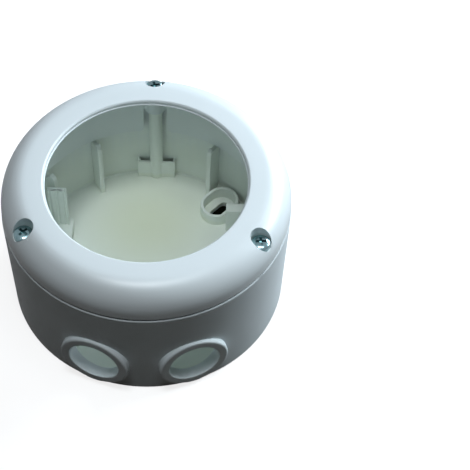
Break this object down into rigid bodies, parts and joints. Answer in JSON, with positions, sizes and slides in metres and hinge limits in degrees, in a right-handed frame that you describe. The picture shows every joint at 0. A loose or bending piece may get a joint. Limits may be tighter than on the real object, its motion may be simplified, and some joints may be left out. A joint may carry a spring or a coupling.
{
  "type": "surface mounting box",
  "caption": "Round surface mounting box: a moulded back box with side cable entries and wall fixing slots, closed by a domed cover ring with a deep skirt.",
  "frame": {"origin": "centre of the flat underside that lies against the wall", "axes": "+Z out of the wall through the cover ring's opening, +Y towards the back cover screw, the cable entries towards -Y"},
  "size_m": [0.1152, 0.1175, 0.0643],
  "materials": {
    "box_plastic": "satin moulded",
    "cover_plastic": "satin moulded",
    "seal_rubber": "matt",
    "screw_zinc": "bright zinc plated"
  },
  "bodies": {
    "root": {"back_box": "box_plastic", "cover_ring": "cover_plastic", "rim_seal": "seal_rubber", "cover_screw_back": "screw_zinc", "cover_screw_left": "screw_zinc", "cover_screw_right": "screw_zinc"}
  },
  "joints": []
}
